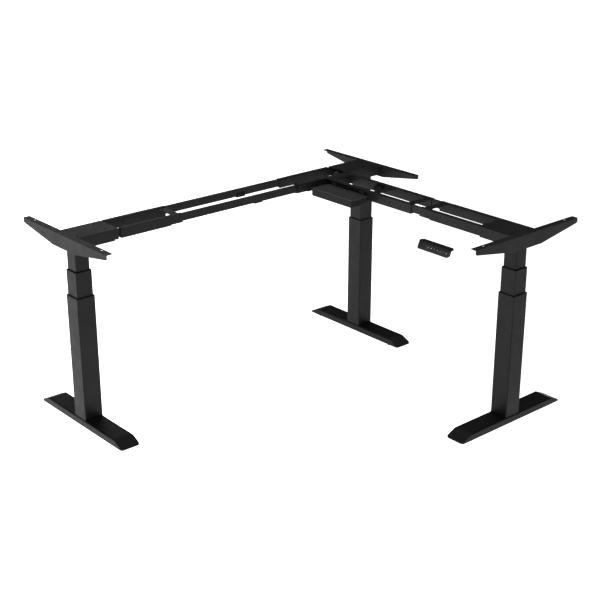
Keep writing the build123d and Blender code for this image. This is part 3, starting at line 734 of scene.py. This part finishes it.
# ================================================================ control box
def socket(x, z, near, frames, holes, pins):
    """Plug socket: a dark opening in a square frame, with two rows of pins."""
    wide, tall = SOCKET_HOLE
    front, back = SOCKET_DEPTH
    holes.block((x - wide, front, z - tall), (x + wide, back, z + tall), near, 0.1)

    front, back = SOCKET_PROUD
    across, up = SOCKET_BARS
    half_across, half_up = SOCKET_BAR_HALF
    end = up + half_up - SOCKET_BAR_LAP
    for side in SIDES:
        middle = x + across * side
        low, high = (middle - half_across, front, z - end), (middle + half_across, back, z + end)
        frames.block(low, high, near, 0.2)
        middle = z + up * side
        low, high = (x - across, front, middle - half_up), (x + across, back, middle + half_up)
        frames.block(low, high, near, 0.2)

    for along in PIN_PLACES:
        for row in SIDES:
            place = near @ facing(x + along, PIN_START, z + PIN_ROW * row, (0, -1, 0))
            pins.tower(PIN, place, segments=16)


def control_box_details():
    """Sockets and the mains inlet in the near end, and screws under the case."""
    low, high = mm("control_box_case", False), mm("control_box_case", True)
    near = at(*low)         # x across the box, y into it, z up
    size = high - low

    frames, pins, holes = Shape(), Shape(), Shape()
    for x in SOCKET_PLACES:
        socket(x, size.z - SOCKET_DROP, near, frames, holes, pins)
    inlet = near @ facing(*INLET_PLACE, (0, -1, 0))
    frames.tower(INLET_RIM, inlet)
    holes.tower(INLET_FLOOR, inlet, segments=48)
    pins.tower(INLET_PIN, inlet, segments=24)
    frames.piece("control_box_sockets", "corner_top", "guide_plastic")
    holes.piece("control_box_holes", "corner_top", "black_rubber")
    pins.piece("control_box_pins", "corner_top", "black_screws")

    screws = Shape()
    for x in (BOX_SCREW_INSET, size.x - BOX_SCREW_INSET):
        for y in (BOX_SCREW_INSET, size.y - BOX_SCREW_INSET):
            screws.tower(screw_rings(*BOX_SCREW), near @ facing(x, y, 0, (0, 0, -1)), segments=48)
    screws.piece("control_box_screws", "corner_top", "black_screws")


control_box_details()


# ================================================================ handset
def handset_face():
    """Frame on the handset's face: x to the reader's right, y up the slope, z towards the reader."""
    low, high = mm("handset_case", False), mm("handset_case", True)
    top = mm("handset_mount_plate", False).z
    middle = (top + low.z) / 2
    tilt = math.radians(HANDSET_TILT)
    normal = Vector((-math.cos(tilt), 0, math.sin(tilt)))
    upward = Vector((math.sin(tilt), 0, math.cos(tilt)))
    turn = Matrix((Vector((0, -1, 0)), upward, normal)).transposed().to_4x4()
    place = at(low.x + (middle - low.z) * math.tan(tilt), (low.y + high.y) / 2, middle)
    return place @ turn, (high.y - low.y) / 2


FACE, HANDSET_HALF = handset_face()


def key_place(name):
    """Frame on the middle of one key's face."""
    low, high = mm("button_" + name, False), mm("button_" + name, True)
    across = FACE.inverted() @ ((low + high) / 2)
    return FACE @ at(across.x, KEY_RISE, KEY_PROUD)


def symbol(name, body, outlines=(), rings=()):
    """Printed symbol on a key, of flat outlines and of rings given by their two radii."""
    shape = Shape()
    place = key_place(body[len("button_"):])
    for outline in outlines:
        shape.prism(outline, INK_THICKNESS, place)
    for inner, outer in rings:
        shape.washer(inner, outer, INK_THICKNESS, place)
    shape.piece(name, body, "button_rubber", INK)


def digit(text, body):
    """Digit as a thin solid text object."""
    curve = bpy.data.curves.new(body + "_digit", "FONT")
    curve.body = text
    curve.size = DIGIT_SIZE * MM
    curve.extrude = INK_THICKNESS / 2 * MM
    curve.align_x = "CENTER"
    curve.align_y = "CENTER"
    curve.materials.append(INK)
    made = bpy.data.objects.new(body + "_digit", curve)
    bpy.context.scene.collection.objects.link(made)
    place = key_place(body[len("button_"):]) @ at(0, 0, INK_THICKNESS / 2)
    made.matrix_world = Matrix.Translation(place.translation * MM) @ place.to_3x3().to_4x4()
    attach(made, body)


def handset_details():
    """Display window, status light and the symbols on the keys."""
    window = Shape()
    start, end, half_height = DISPLAY
    back, front = DISPLAY_DEPTH
    low, high = (start - HANDSET_HALF, -half_height, back), (end - HANDSET_HALF, half_height, front)
    window.block(low, high, FACE, 0.15)
    window.piece("handset_display", "right_top", "handset_plastic", DISPLAY_GLASS)

    light = Shape()
    along, up = LIGHT_PLACE
    light.tower(dome_rings(*LIGHT_DOME), FACE @ at(along - HANDSET_HALF, up, 0), segments=32)
    light.piece("handset_light", "right_top", "handset_plastic", LED_LENS)

    upside_down = [(-x, -y) for x, y in ARROW]
    symbol("button_up_arrow", "button_up", outlines=[ARROW])
    symbol("button_down_arrow", "button_down", outlines=[upside_down])
    symbol("button_set_ring", "button_set", rings=SET_RINGS)
    for k in range(1, 5):
        digit(str(k), "button_memory_%d" % k)


handset_details()


# ================================================================ floor, lights, camera
def add_floor():
    """Sheet of white paper that reaches the horizon."""
    shape = bmesh.new()
    bmesh.ops.create_grid(shape, x_segments=8, y_segments=8, size=FLOOR_HALF)
    mesh = bpy.data.meshes.new("floor")
    shape.to_mesh(mesh)
    shape.free()
    mesh.materials.append(floor_paper("floor_paper"))
    floor = bpy.data.objects.new("floor", mesh)
    bpy.context.scene.collection.objects.link(floor)


def add_area_light(name, azimuth, elevation, distance, size, power):
    """Soft box that looks at the middle of the frame from a direction round it."""
    lamp = bpy.data.lights.new(name, "AREA")
    lamp.shape = "RECTANGLE"
    lamp.size, lamp.size_y = size
    lamp.energy = power
    made = bpy.data.objects.new(name, lamp)
    bpy.context.scene.collection.objects.link(made)
    a, e = math.radians(azimuth), math.radians(elevation)
    away = Vector((math.cos(a) * math.cos(e), math.sin(a) * math.cos(e), math.sin(e)))
    made.location = Vector(LIGHT_TARGET) + away * distance
    made.rotation_euler = away.to_track_quat("Z", "Y").to_euler()
    made.visible_camera = False


def add_world():
    """Dim, even room round the soft boxes."""
    world = bpy.data.worlds.new("studio")
    world.use_nodes = True
    bpy.context.scene.world = world
    background = world.node_tree.nodes["Background"]
    background.inputs["Color"].default_value = (1.0, 1.0, 1.0, 1.0)
    background.inputs["Strength"].default_value = ROOM_GLOW


def add_camera():
    """Camera in front of the desk and above its top, looking towards the corner leg."""
    lens = bpy.data.cameras.new("camera")
    lens.lens = CAMERA_LENS
    lens.sensor_width = CAMERA_SENSOR
    camera = bpy.data.objects.new("camera", lens)
    bpy.context.scene.collection.objects.link(camera)
    camera.location = CAMERA_PLACE
    tilt, turn = 90.0 - CAMERA_DROP, CAMERA_AZIMUTH - 90.0
    camera.rotation_euler = (math.radians(tilt), 0.0, math.radians(turn))
    bpy.context.scene.camera = camera


add_floor()
add_world()
for soft_box in SOFT_BOXES:
    add_area_light(*soft_box)
add_camera()
bpy.context.scene.view_settings.view_transform = "Standard"
